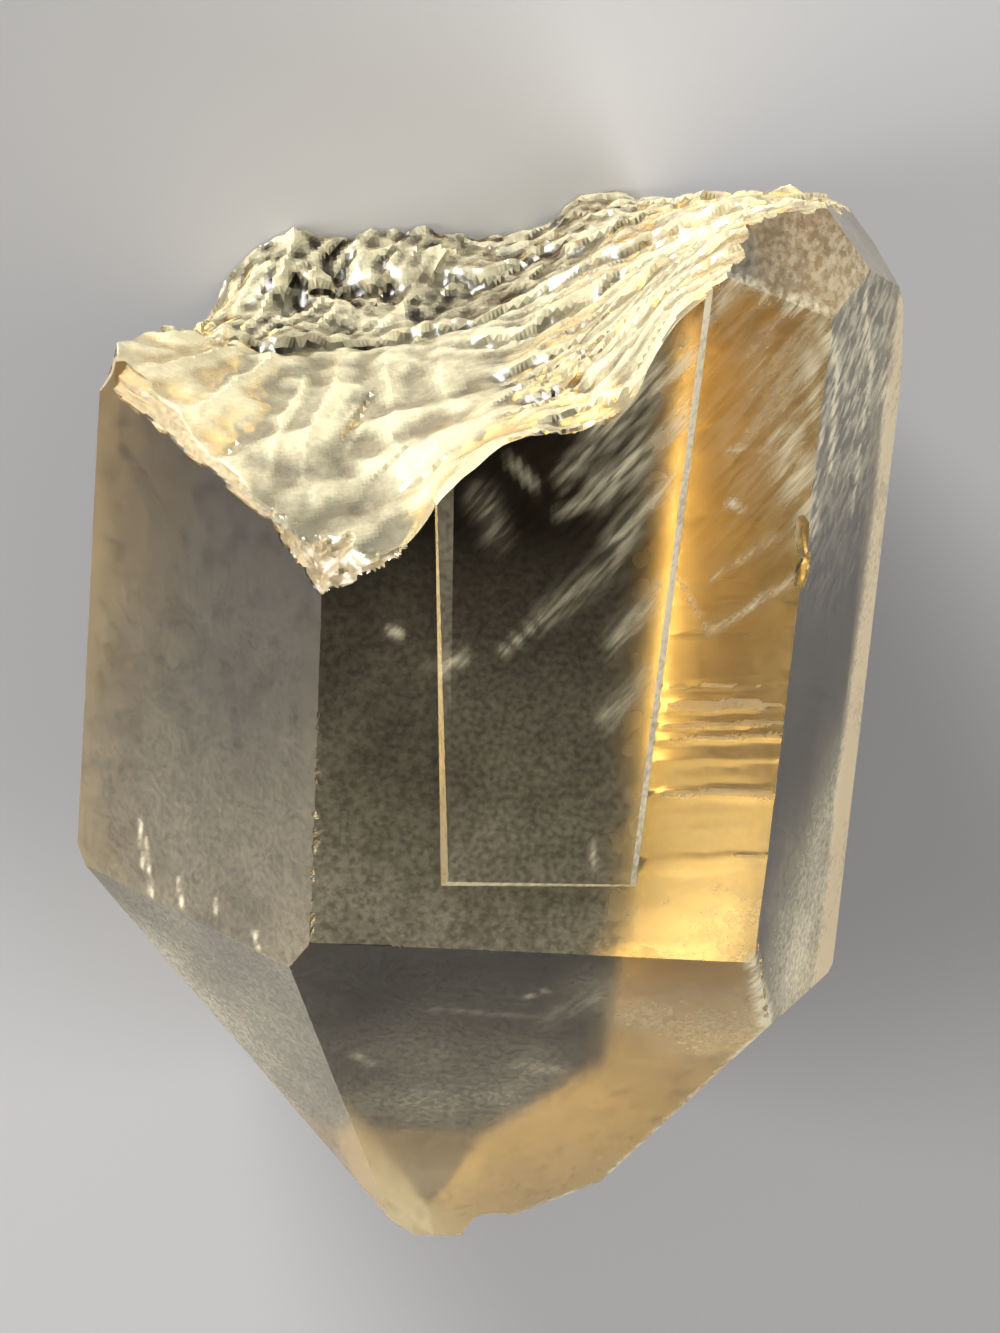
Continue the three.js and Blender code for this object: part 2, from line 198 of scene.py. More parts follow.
# The faint grain of the hollow: its height, then per mm, seed and number of layers.
HOLLOW_GRAIN = 0.02
HOLLOW_LAYERS = (1.0, 33, 2)
# Where the smooth hollow ends at its right and begins at its back, and the same of the knob.
HOLLOW_RIGHT = (-3.5, 0.5)
HOLLOW_BACK = (-5.4, -4.0)
KNOB_RIGHT = (-2, 1)
KNOB_FRONT = (-5.8, -4.4)
# Shell-shaped steps: length, width, turn, seed, height of their crests and of their levels.
SHELLS = (3.1, 1.05, 14, 90, 0.32, 0.16)
SMALL_SHELLS = (1.25, 0.42, 20, 95, 0.10, 0.05)
KNOB_SHELLS = (1.5, 0.6, -55, 99, 0.26, 0.10)
RAGGED_SHELLS = (1.3, 0.55, 75, 44, 0.28, 0.14)
CHIP_SHELLS = (1.3, 0.5, 35, 71, 1, 0.5)
# How much the knob and the hollow calm the first two of them.
KNOB_CALM = 0.6
KNOB_CALM_SMALL = 0.4
HOLLOW_CALM_SMALL = 0.9
# How uneven their edges are and how often on each, how far their middles are shifted, how much
# one outgrows another, and the limits of their relief.
SHELL_WOBBLE = 0.35
WOBBLES_PER_SHELL = 0.9
SHELL_SHIFT = 0.42
SHELL_OUTGROWTH = 0.22
SHELL_LOWEST = -0.3
SHELL_HIGHEST = 1.3
# How far the whole break is set back, so that its crests keep to its base surface.
BREAK_SINK = 0.12
SHELL_SINK = 0.22
RAGGED_SINK = 0.1

# Flat chips: their outlines [x, y, z], and the way that each was knocked off.
CORNER_CHIP = (
    [(-9.3, 5.5, 11.7), (-6.1, 7.3, 11.8), (-6.0, 8.4, 10.9), (-9.0, 8.2, 9.3),
     (-10.6, 8.8, 7.9), (-11.4, 8.1, 8.1)],
    (-1.1, 1.9, 2.0),
)
RIM_CHIP = (
    [(-16.3, 10.5, -0.3), (-11.1, 7.9, 8.3), (-10.6, 8.9, 8.1), (-15.7, 11.7, -0.5)],
    (-1.6, 0.7, 0.9),
)
CHIP_CUTS = 18
CHIP_RELIEF = 0.1
# How the chips' relief shifts in x and y with each mm of height, and its fine layers.
CHIP_SHIFT = (0.6, -0.5)
CHIP_LAYERS = (3.0, 17, 2)
# Edges with a row of small nicks: start, end, how many, the size of the first and of the last.
NICKED_EDGES = [
    ((-9.12, 2.4, 11.58), (-8.63, -8.0, 11.58), 22, 0.12, 0.2),
    ((8.95, -7.3, 11.5), (10.5, -11.9, 8.8), 10, 0.12, 0.2),
]
# The raised panel on the top: its height, how deep it is rooted, its foot and its upper edge.
STEP_HEIGHT = 0.4
STEP_ROOT = 0.6
STEP_SINK = 0.01
STEP_CUTS = 47
STEP_FOOT = [(-5.7, 15.0), (-3.7, -5.5), (3.9, -5.3), (4.2, 4.6), (4.75, 19.6)]
STEP_TOP = [(-4.9, 15.0), (-3.5, -5.2), (3.6, -5.1), (3.85, 4.6), (4.4, 19.6)]
# Scoops out of edges: centre, radii, turn about the vertical.
EDGE_CHIPS = [
    ((2.0, -24.8, -0.8), (1.3, 1.15, 2.2), 10),
    ((9.15, 8.9, 11.4), (0.34, 0.95, 0.5), 12),
    ((9.4, 7.5, 11.2), (0.4, 0.75, 0.75), -16),
    ((-16.9, -9.9, -1.9), (1.2, 1.5, 2.6), 24),
    ((14.8, -12.4, 1.4), (1.0, 0.9, 1.6), -20),
    ((10.8, -12.2, 9.3), (0.7, 0.7, 0.9), 30),
    ((-16.9, 11.9, -1.6), (0.9, 1.9, 2.4), -14),
]

# How uneven the scoops are, and how this changes over them: span, then per mm and seed.
CHIP_UNEVENNESS = 0.09
NICK_UNEVENNESS = 0.3
SCOOP_SPAN = 2
SCOOP_GRAIN = (1.7, 3)
# The nicks' seed, how much their places and sizes vary, their length as a share of their width,
# how much that varies, and the turn from one to the next.
NICK_SEED = 12
NICK_SHIFT = 0.7
NICK_SPREAD = 0.4
NICK_LENGTH = 1.8
NICK_LENGTH_SPREAD = 0.9
NICK_TURN = 9


# ---------------------------------------------------------------- what the surfaces are like

# Of each face: its roughness toward the break and toward the tip, then its haze at these ends.
# Haze is the share of the light that the surface scatters.
FINISH = {
    "top": (0.04, 0.04, 0.0, 0.28), "right": (0.06, 0.06, 0.0, 0.10),
    "low_right": (0.10, 0.16, 0.0, 0.0), "under": (0.10, 0.20, 0.0, 0.0),
    "low_left": (0.27, 0.29, 0.0, 0.0), "left": (0.42, 0.42, 0.0, 0.11),
    "tip_top": (0.17, 0.20, 0.04, 0.16), "tip_right": (0.08, 0.08, 0.25, 0.25),
    "tip_low_right": (0.30, 0.30, 0.0, 0.0), "tip_under": (0.32, 0.32, 0.0, 0.0),
    "tip_low_left": (0.53, 0.95, 0.0, 0.0), "tip_left": (0.2, 0.2, 0.2, 0.26),
    "blunt_tip": (0.2, 0.2, 0.2, 0.2), "shoulder": (0.14, 0.14, 0.03, 0.03),
    "shoulder_side": (0.14, 0.14, 0.12, 0.12), "shoulder_low": (0.12, 0.12, 0.10, 0.10),
    "shoulder_flank": (0.08, 0.08, 0.2, 0.3),
}
PRISM_ENDS = (9, -10)
TIP_ENDS = (-9, -21)
# A polygon is part of a face when it lies this close to its plane, and of the break when it lies
# this close to the break and this far from any face.
FACE_REACH = 0.07
BREAK_REACH = 0.12
BREAK_CLEARANCE = 0.03
# Roughness and haze of the slopes beside the raised panel, and of the chips. The right slope's high haze
# is painted light, which keeps it pale though it faces away from the key light.
LEFT_BEVEL_FINISH = (0.22, 0.10)
RIGHT_BEVEL_PAINTED_LIGHT_FINISH = (0.20, 0.8)
CHIP_FINISH = (0.30, 0.55)
# The slopes beside the panel are steeper than its top, which faces up at least this squarely.
SQUARELY_UP = 0.985
ROUGHLY_UP = 0.2
# How far above the top the panel counts, and how much its slopes' own limits are widened.
PANEL_FROM = 0.02
BEVEL_MARGIN = 0.01
# Tint runs from 0 on the faces through this on the chips to 1 on the break.
CHIP_TINT = 0.5
# Veils: start, end, half the width, strength. Some are thin cracks and some are clouds.
VEILS = [
    ((-2.7, 11.7, 11.9), (-1.4, 10.5, 11.9), 0.16, 0.35),
    ((-0.5, 10.9, 11.9), (0.6, 12.4, 11.9), 0.3, 0.4),
    ((-0.5, 9.4, 11.9), (2.0, 11.1, 11.9), 0.16, 0.5),
    ((-3.5, 10.0, 11.9), (-2.8, 8.6, 11.9), 0.5, 0.25),
    ((-2.2, 4.0, 11.9), (-0.7, 5.4, 11.9), 0.16, 0.5),
    ((-0.7, 5.4, 11.9), (1.8, 7.8, 11.9), 0.45, 0.3),
    ((-5.0, 3.2, 11.7), (-3.7, 3.8, 11.9), 0.28, 0.5),
    ((-6.4, 4.6, 11.5), (-6.2, 4.5, 11.5), 0.2, 0.7),
    ((2.0, -3.5, 11.9), (2.1, -4.4, 11.9), 0.12, 0.5),
    ((0.9, 12.9, 11.9), (3.8, 15.8, 11.9), 0.6, 0.6),
    ((1.1, 10.6, 11.9), (4.0, 13.5, 11.9), 0.6, 0.6),
    ((1.9, 8.6, 11.9), (3.6, 10.9, 11.9), 0.5, 0.5),
    ((2.2, 4.6, 11.9), (3.6, 6.6, 11.9), 0.45, 0.38),
    ((2.1, 1.6, 11.9), (3.5, 3.4, 11.9), 0.4, 0.34),
    ((4.4, 17.0, 11.5), (5.9, 19.2, 11.5), 0.25, 0.9),
    ((4.4, 7.1, 11.5), (5.9, 4.9, 11.5), 0.12, 0.5),
    ((5.9, 5.0, 11.5), (9.0, 7.3, 11.5), 0.14, 0.6),
    ((5.8, 7.1, 11.5), (8.1, 8.9, 11.5), 0.16, 0.35),
    ((6.2, 10.1, 11.5), (6.5, 9.9, 11.5), 0.16, 1.0),
    ((5.8, 12.2, 11.5), (8.2, 12.3, 11.5), 0.12, 0.3),
    # Light edges round the tip.
    ((8.9, -8.3, 11.5), (10.4, -11.8, 8.7), 0.35, 0.9),
    ((10.4, -11.8, 8.7), (5.9, -21.5, 1.0), 0.13, 0.8),
    ((5.9, -21.5, 1.0), (0.8, -25.2, -1.9), 0.13, 0.8),
    ((5.3, 19.2, 11.2), (7.8, 17.9, 11.5), 0.3, 0.6),
    ((7.8, 17.9, 11.5), (9.6, 18.2, 11.2), 0.4, 0.9),
    ((6.1, 19.9, 11.2), (6.9, 18.0, 11.5), 0.2, 0.6),
    ((9.0, 17.3, 12.0), (10.1, 15.4, 10.3), 0.35, 0.8),
    ((10.1, 15.4, 10.3), (10.4, 11.1, 9.6), 0.3, 0.7),
    ((11.4, 17.7, 8.1), (12.4, 14.2, 6.2), 0.25, 0.5),
    ((12.2, 14.3, 6.4), (12.2, 8.7, 6.2), 0.3, 0.5),
    ((8.2, 12.6, 11.5), (9.6, 9.1, 10.9), 0.7, 0.6),
    ((13.4, 13.5, 4.4), (14.3, 9.4, 2.7), 0.4, 0.4),
    ((8.7, 16.0, 11.8), (9.5, 12.3, 11.1), 0.3, 0.6),
    # Scratches on the left face.
    ((-14.2, -6.4, 1.8), (-14.0, -8.2, 2.0), 0.1, 0.8),
    ((-14.0, -7.0, 2.2), (-13.8, -8.3, 2.4), 0.1, 0.7),
    ((-13.7, -8.7, 2.6), (-13.7, -9.1, 2.5), 0.16, 0.8),
    ((-12.9, -8.0, 4.1), (-12.7, -9.0, 4.3), 0.1, 0.8),
    ((-11.6, -8.1, 6.2), (-11.6, -8.6, 6.2), 0.1, 0.6),
    ((-10.3, -8.7, 8.4), (-10.2, -9.2, 8.6), 0.12, 0.7),
    # A bow of light, specks and low clouds in the tip.
    ((-3.0, -11.5, 8.8), (1.7, -11.8, 8.6), 0.2, 0.12),
    ((1.7, -11.7, 8.6), (3.0, -10.6, 9.6), 0.6, 0.14),
    ((0.4, -10.6, 9.5), (0.6, -10.5, 9.6), 0.14, 0.45),
    ((1.0, -10.2, 9.9), (1.1, -10.3, 9.8), 0.12, 0.45),
    ((-5.6, -14.3, 6.6), (-4.9, -14.8, 6.2), 0.25, 0.22),
    ((1.2, -14.6, 6.4), (2.6, -14.8, 6.3), 0.4, 0.18),
]
# Soft clouds on the faces: middle, reach, how much haze they add. The first two, on the right face
# toward the tip, are painted light: their haze brightens that part in place of light that comes through
# the crystal.
CLOUDS = [
    ((12.4, -9.0, 5.4), 4.6, 0.65), ((14.6, -3.0, 2.0), 3.6, 0.25),
    ((-3.4, -14.6, 6.3), 2.6, 0.07), ((1.4, -14.4, 6.5), 2.0, 0.10),
    ((-2.0, -17.2, 4.3), 1.7, 0.14), ((-4.6, -16.9, 4.4), 1.3, 0.08), ((1.0, -16.4, 4.9), 1.3, 0.10),
    ((3.0, -9.8, 10.2), 1.2, 0.10), ((4.9, -11.4, 9.0), 1.1, 0.20),
    ((7.0, -11.8, 8.7), 2.4, 0.18), ((-10.0, -14.0, -4.0), 4.0, 0.5),
]
# The broad veil in the upper right corner: its middle, its reach and its strength.
CORNER_VEIL = ((11.5, 15.0, 8.0), 6.5, 0.6)
# Painted light: more haze and a deeper colour in a strip along the lower edge of the right face,
# standing in for the bright golden strip that refraction makes there.
PAINTED_STRIP_HAZE = 0.9
PAINTED_STRIP_TINT = 0.42
PAINTED_STRIP_BAND = (4.4, 3.2)
# More roughness on the top beside the edge of its raised panel: where it begins and ends.
TOP_BLUR = 0.2
TOP_BLUR_START = (-0.5, 3.2)
TOP_BLUR_END = (3.6, 4.6)
BREAK_ROUGHNESS = 0.22
# The milkiness of the break, and how much of it the hollow, the ragged patch and the back add.
BREAK_MILK = 0.48
HOLLOW_MILK = 0.08
RAGGED_MILK = 0.12
BACK_MILK = -0.16
BACK_START = (-6.5, -3.5)
# Patches that are milkier or clearer: on the whole break and, on top of that, on the knob.
MILK_SWING = 0.07
KNOB_MILK_SWING = 0.1
# Their number per mm, seed, number of layers, and the strength of each beside the one before.
MILK_LAYERS = (0.7, 77, 4, 0.7)
# Crests are milkier than their surroundings and creases clearer, within these limits. This is partly the
# real whitening of bruised crests and partly painted shade, which darkens the creases and the pits of
# the ragged patch.
CREST_MILK_AND_CREASE_SHADE = 3.2
CLEAREST_SHADED_CREASE = -0.26
CLEAREST_SHADED_RAGGED = -0.6
MILKIEST_CREST = 0.3
MILKIEST_BACK = 0.05
# The whitest spot of the break: x, z, its reach and how much milk it adds.
WHITE_SPOT = (-5.2, 7.6, 1.4, 0.6)

IOR = 1.544
ABSORPTION_COLOUR = (0.96, 0.76, 0.22, 1)
ABSORPTION_DENSITY = 43.0
FACE_TINT = (0.93, 0.83, 0.57, 1)
CHIP_COLOUR = (0.85, 0.68, 0.40, 1)
BREAK_TINT = (0.98, 0.90, 0.60, 1)
MOST_HAZE = 0.95
# Noises, as cells per metre and how many finer layers they have, and where most values lie.
MOTTLE_NOISE = (4200, 1)
CLOUD_NOISE = (170, 2)
FIBRE_NOISE = (1500, 2)
GRIT_NOISE = (900, 1)
USUAL_NOISE = (0.3, 0.7)
# How strong the finer layers of the clouds and the fibres are.
FINE_NOISE_SHARE = 0.6
FIBRE_RANGE = (0.38, 0.64)
# What they multiply haze, veils and roughness by, from their lowest to their highest values.
CLOUD_SWING = (0.62, 1.38)
FIBRE_SWING = (0.25, 1.25)
GRIT_SWING = (0.8, 1.25)
# How strong the fine mottle is on the faces and on the break.
MOTTLE_ON_FACES = 0.34
MOTTLE_ON_BREAK = 0.12
# The fibres of the veils: how they are stretched, and how they are turned about the vertical.
FIBRE_STRETCH = (2.4, 0.3, 1.0)
VEIL_SLANT = math.radians(-38)
SHARP_ANGLE = math.radians(24)


# ---------------------------------------------------------------- noise and curves

def rise(low, high, value):
    """Climbs smoothly from 0 at low to 1 at high."""
    t = np.clip((value - low) / (high - low), 0, 1)
    return t * t * (3 - 2 * t)


def scatter(i, j, seed):
    """A value from -1 to 1 that belongs to a pair of whole numbers."""
    value = np.sin(i * 127.1 + j * 311.7 + seed * 74.7) * 43758.5453
    return (value - np.floor(value)) * 2 - 1


def grain(x, z, per_mm, seed):
    """Smooth random hills and dips from -1 to 1, per_mm of them on each millimetre."""
    along, up = x * per_mm, z * per_mm
    i, j = np.floor(along), np.floor(up)
    u, v = rise(0, 1, along - i), rise(0, 1, up - j)
    low = scatter(i, j, seed) * (1 - u) + scatter(i + 1, j, seed) * u
    high = scatter(i, j + 1, seed) * (1 - u) + scatter(i + 1, j + 1, seed) * u
    return low * (1 - v) + high * v


def layers(x, z, per_mm, seed, count, gain=0.5):
    """Grain in several sizes, each half as wide and weaker than the one before."""
    total, weight = 0, 1
    for k in range(count):
        total = total + weight * grain(x, z, per_mm * 2.03 ** k, seed + 11 * k)
        weight *= gain
    return total


def through_points(points):
    """A smooth surface through points (x, z, y), as a function of x and z."""
    p = np.array(points, float)
    n = len(p)
    d2 = ((p[:, None, :2] - p[None, :, :2]) ** 2).sum(-1)
    kernel = np.where(d2 > 0, d2 * np.log(np.where(d2 > 0, d2, 1)), 0)
    a = np.zeros((n + 3, n + 3))
    a[:n, :n] = kernel
    a[:n, n] = 1
    a[:n, n + 1:] = p[:, :2]
    a[n:, :n] = a[:n, n:].T
    w = np.linalg.solve(a, np.r_[p[:, 2], 0, 0, 0])

    def height(x, z):
        y = w[n] + w[n + 1] * x + w[n + 2] * z
        for (px, pz, _), weight in zip(p, w):
            q = (x - px) ** 2 + (z - pz) ** 2
            y = y + weight * np.where(q > 0, q * np.log(np.where(q > 0, q, 1)), 0)
        return y
    return height


def scallops(x, z, length, width, turn, seed):
    """Shell-shaped scoops that meet in sharp crests. From 0 at their middles to 1."""
    c, s = math.cos(math.radians(turn)), math.sin(math.radians(turn))
    along = (c * x + s * z) / length
    across = (c * z - s * x) / width
    along = along + SHELL_WOBBLE * grain(x, z, WOBBLES_PER_SHELL / length, seed + 61)
    across = across + SHELL_WOBBLE * grain(x, z, WOBBLES_PER_SHELL / width, seed + 62)
    i, j = np.floor(along), np.floor(across)
    nearest = np.full(np.shape(along), np.inf)
    level = np.zeros(np.shape(along))
    for di in (-1, 0, 1):
        for dj in (-1, 0, 1):
            a, b = i + di, j + dj
            ca = a + 0.5 + SHELL_SHIFT * scatter(a, b, seed)
            cb = b + 0.5 + SHELL_SHIFT * scatter(a, b, seed + 1)
            lift = SHELL_OUTGROWTH * scatter(a, b, seed + 2)
            span = (along - ca) ** 2 + (across - cb) ** 2 + lift
            closer = span < nearest
            nearest = np.where(closer, span, nearest)
            level = np.where(closer, scatter(a, b, seed + 3), level)
    return np.clip(nearest, SHELL_LOWEST, SHELL_HIGHEST), level


def shells(x, z, length, width, turn, seed, crest_rise, level_rise):
    """The relief of shell-shaped steps, in mm."""
    crest, level = scallops(x, z, length, width, turn, seed)
    return crest_rise * crest + level_rise * level


def hollow_part(x, z):
    """1 in the smooth hollow at the left of the break, 0 elsewhere."""
    return (1 - rise(*HOLLOW_RIGHT, x)) * rise(*HOLLOW_BACK, z)


def knob_part(x, z):
    """1 on the rough knob at the back of the break."""
    return (1 - rise(*KNOB_FRONT, z)) * (1 - rise(*KNOB_RIGHT, x))


def fold(x, z, start, end, width):
    """A sharp crest from start to end, steeper on its right. 1 on the crest."""
    (x0, z0), (x1, z1) = start, end
    length = math.hypot(x1 - x0, z1 - z0)
    ax, az = (x1 - x0) / length, (z1 - z0) / length
    along = ((x - x0) * ax + (z - z0) * az) / length
    off = (x - x0) * az - (z - z0) * ax
    for most, per_mm, seed in FOLD_WANDER:
        off = off + most * grain(x, z, per_mm, seed)
    widening = FOLD_FIRST_WIDTH + FOLD_WIDTH_GAIN * np.clip(along, 0, 1)
    spread = np.where(off > 0, width, FOLD_STEEP_SIDE * width) * widening
    ends = rise(*FOLD_START, along) * (1 - rise(*FOLD_END, along))
    return ends * np.exp(-np.abs(off) / spread)


def ragged_part(x, z):
    """1 in the small ragged patch beside the rim of the top, 0 elsewhere."""
    px, pz, width, length = RAGGED
    return np.exp(-(((x - px) / width) ** 2) - ((z - pz) / length) ** 2)


break_base = through_points(BREAK_RIM_LEFT + BREAK_RIM_TOP + BREAK_RIM_BACK + BREAK_INSIDE)


def ledge(x, z, start, slope, x0, x1, drop):
    """A sudden step down toward the top of the crystal, which the surface then slowly regains."""
    past = z - start - slope * x
    past = past + LEDGE_WANDER * layers(x, z, LEDGE_WANDER_PER_MM, LEDGE_SEED + start, 2)
    between = rise(x0, x0 + LEDGE_END_FADE, x) * (1 - rise(x1 - LEDGE_END_FADE, x1, x))
    fall = rise(-LEDGE_WIDTH / 4, LEDGE_WIDTH / 4, past)
    recovery = rise(-LEDGE_RECOVERY_WIDTH / 2, LEDGE_RECOVERY_WIDTH / 2, past)
    return drop * between * (recovery - fall)


def break_height(x, z):
    """Where the break stands along the crystal."""
    y = break_base(x, z)
    for values in LEDGES:
        y = y + ledge(x, z, *values)
    radius = np.hypot(x - RIB_CENTRE[0], z - RIB_CENTRE[1])
    fade = 1 - rise(*RIB_FADE, radius)
    y = y + RIB_HEIGHT * fade * np.sin(2 * math.pi * radius / RIB_SPACING)
    for px, pz, pr, depth in PITS:
        y = y - depth * np.exp(-((x - px) ** 2 + (z - pz) ** 2) / pr ** 2)
    front = rise(*FRONT_START, z)
    rough = ROUGHNESS_BACK * (1 - front) + ROUGHNESS_FRONT * front
    y = y + rough * (grain(x, z, *COARSE_GRAIN) + FINE_GRAIN_SHARE * grain(x, z, *FINE_GRAIN))
    # Finer relief: folds fan out over the hollow, and shell-shaped steps cover the rest.
    hollow, knob, ragged = hollow_part(x, z), knob_part(x, z), ragged_part(x, z)
    for x0, z0, x1, z1, height, width in FOLDS:
        y = y + height * fold(x, z, (x0, z0), (x1, z1), width)
    y = y + HOLLOW_GRAIN * hollow * layers(x, z, *HOLLOW_LAYERS)
    y = y + (1 - hollow) * (1 - KNOB_CALM * knob) * shells(x, z, *SHELLS)
    y = y + (1 - HOLLOW_CALM_SMALL * hollow) * (1 - KNOB_CALM_SMALL * knob) * shells(x, z, *SMALL_SHELLS)
    y = y + knob * shells(x, z, *KNOB_SHELLS)
    y = y + ragged * shells(x, z, *RAGGED_SHELLS)
    return y - SHELL_SINK * (1 - hollow) - BREAK_SINK - RAGGED_SINK * ragged


def crest_height(x, z):
    """How far the break stands above its surroundings, in mm."""
    s = CREST_REACH * (1 + HOLLOW_EXTRA_REACH * hollow_part(x, z))
    around = break_height(x + s, z) + break_height(x - s, z)
    around = around + break_height(x, z + s) + break_height(x, z - s)
    return break_height(x, z) - around / 4


# ---------------------------------------------------------------- mesh building

def unit(turn, lean):
    """The outward direction of a face."""
    t, a = math.radians(turn), math.radians(lean)
    return np.array([math.cos(a) * math.sin(t), -math.sin(a), math.cos(a) * math.cos(t)])


def linked(name, mesh):
    obj = bpy.data.objects.new(name, mesh)
    bpy.context.scene.collection.objects.link(obj)
    return obj


def add_object(name, vertices, polygons):
    mesh = bpy.data.meshes.new(name)
    mesh.from_pydata([tuple(v) for v in vertices], [], polygons)
    mesh.update()
    return linked(name, mesh)


def object_from(bm, name):
    """An object with the shape that was put together in bm, which is used up."""
    mesh = bpy.data.meshes.new(name)
    bm.to_mesh(mesh)
    bm.free()
    return linked(name, mesh)


def hull_object(name, corners):
    bm = bmesh.new()
    for c in corners:
        bm.verts.new(c)
    result = bmesh.ops.convex_hull(bm, input=bm.verts)
    inner = [g for g in result["geom_interior"] if isinstance(g, bmesh.types.BMVert)]
    if inner:
        bmesh.ops.delete(bm, geom=inner, context="VERTS")
    bmesh.ops.remove_doubles(bm, verts=bm.verts, dist=SAME_CORNER)
    bmesh.ops.recalc_face_normals(bm, faces=bm.faces)
    return object_from(bm, name)


def convex_corners(faces):
    """The corners of the body that lies within all the planes (turn, lean, distance)."""
    planes = [(unit(t, l), d) for t, l, d in faces]
    normals = np.array([n for n, _ in planes])
    limits = np.array([d for _, d in planes])
    found = []
    for i in range(len(planes)):
        for j in range(i + 1, len(planes)):
            for k in range(j + 1, len(planes)):
                m = normals[[i, j, k]]
                if abs(np.linalg.det(m)) > TINY:
                    p = np.linalg.solve(m, limits[[i, j, k]])
                    if (normals @ p < limits + TINY).all():
                        found.append(p)
    return np.array(found)


def slab(name, us, vs, place, relief, depth):
    """A closed slab over the grid us x vs. Its inner side stands at relief(u, v)."""
    u, v = np.meshgrid(us, vs)
    inner = place(u, v, relief(u, v))
    outer = place(u, v, np.full(u.shape, float(depth)))
    points = np.concatenate([inner.reshape(-1, 3), outer.reshape(-1, 3)])
    rows, columns = u.shape
    index = np.arange(rows * columns).reshape(rows, columns)
    a, b = index[:-1, :-1].ravel(), index[:-1, 1:].ravel()
    c, d = index[1:, 1:].ravel(), index[1:, :-1].ravel()
    n = rows * columns
    polygons = np.concatenate([np.c_[a, b, c, d], np.c_[d, c, b, a] + n]).tolist()
    edge = np.concatenate([index[0, :-1], index[:-1, -1], index[-1, :0:-1], index[:0:-1, 0]])
    after = np.roll(edge, -1)
    polygons += np.c_[edge, edge + n, after + n, after].tolist()
    obj = add_object(name, points, polygons)
    bm = bmesh.new()
    bm.from_mesh(obj.data)
    bmesh.ops.triangulate(bm, faces=bm.faces)
    bmesh.ops.recalc_face_normals(bm, faces=bm.faces)
    bm.to_mesh(obj.data)
    bm.free()
    return obj


def combine(target, tool, operation):
    """Joins the tool to the target or cuts it away, and removes the tool."""
    mod = target.modifiers.new("cut", "BOOLEAN")
    mod.operation = operation
    mod.solver = "MANIFOLD"
    mod.object = tool
    depsgraph = bpy.context.evaluated_depsgraph_get()
    mesh = bpy.data.meshes.new_from_object(target.evaluated_get(depsgraph))
    target.modifiers.clear()
    old = target.data
    target.data = mesh
    bpy.data.meshes.remove(old)
    bpy.data.objects.remove(tool)


def fine_range(values, step):
    """Even steps from the lowest to the highest value, with a far step at each end."""
    low, high = values.min() - GRID_MARGIN, values.max() + GRID_MARGIN
    inner = np.arange(low, high + step, step)
    return np.concatenate([[low - GRID_RUN_ON], inner, [inner[-1] + GRID_RUN_ON]])


def scoop(name, centre, radii, turn, unevenness):
    """A slightly uneven ellipsoid."""
    bm = bmesh.new()
    bmesh.ops.create_icosphere(bm, subdivisions=3, radius=1.0)
    c, s = math.cos(math.radians(turn)), math.sin(math.radians(turn))
    for vert in bm.verts:
        p = np.array(vert.co)
        spot = (p[0] * SCOOP_SPAN + centre[0], p[1] * SCOOP_SPAN + p[2] + centre[1])
        bump = float(grain(*spot, *SCOOP_GRAIN))
        p = p * (1 + unevenness * bump)
        x, y, z = p * np.array(radii)
        vert.co = (c * x - s * y + centre[0], s * x + c * y + centre[1], z + centre[2])
    return object_from(bm, name)


def subdivided(obj, cuts):
    bm = bmesh.new()
    bm.from_mesh(obj.data)
    bmesh.ops.triangulate(bm, faces=bm.faces)
    bmesh.ops.subdivide_edges(bm, edges=bm.edges, cuts=cuts, use_grid_fill=True)
    bmesh.ops.triangulate(bm, faces=bm.faces)
    bm.to_mesh(obj.data)
    bm.free()
    return obj


def roughened(obj, outward):
    """Gives a chip's cutter a broken surface, pushed in and out along the way it was knocked off."""
    mesh = subdivided(obj, CHIP_CUTS).data
    away = outward / np.linalg.norm(outward)
    points = np.array([v.co for v in mesh.vertices])
    x = points[:, 0] + CHIP_SHIFT[0] * points[:, 2]
    y = points[:, 1] + CHIP_SHIFT[1] * points[:, 2]
    push = CHIP_RELIEF * (shells(x, y, *CHIP_SHELLS) + layers(x, y, *CHIP_LAYERS))
    mesh.vertices.foreach_set("co", (points + np.outer(push, away)).ravel())
    mesh.update()
    return obj


def nicks():
    """Places, radii and turns of the small nicks, which grow from one end of a row to the other."""
    found = []
    for start, end, count, first, last in NICKED_EDGES:
        start, end = np.array(start), np.array(end)
        for k in range(count):
            shift, growth, stretch = (float(scatter(k, n, NICK_SEED)) for n in range(3))
            share = (k + NICK_SHIFT * shift) / (count - 1)
            size = (first + (last - first) * share) * (1 + NICK_SPREAD * growth)
            length = size * (NICK_LENGTH + NICK_LENGTH_SPREAD * stretch)
            found.append((tuple(start + (end - start) * share), (size, length, size), NICK_TURN * k))
    return found


# ---------------------------------------------------------------- the crystal

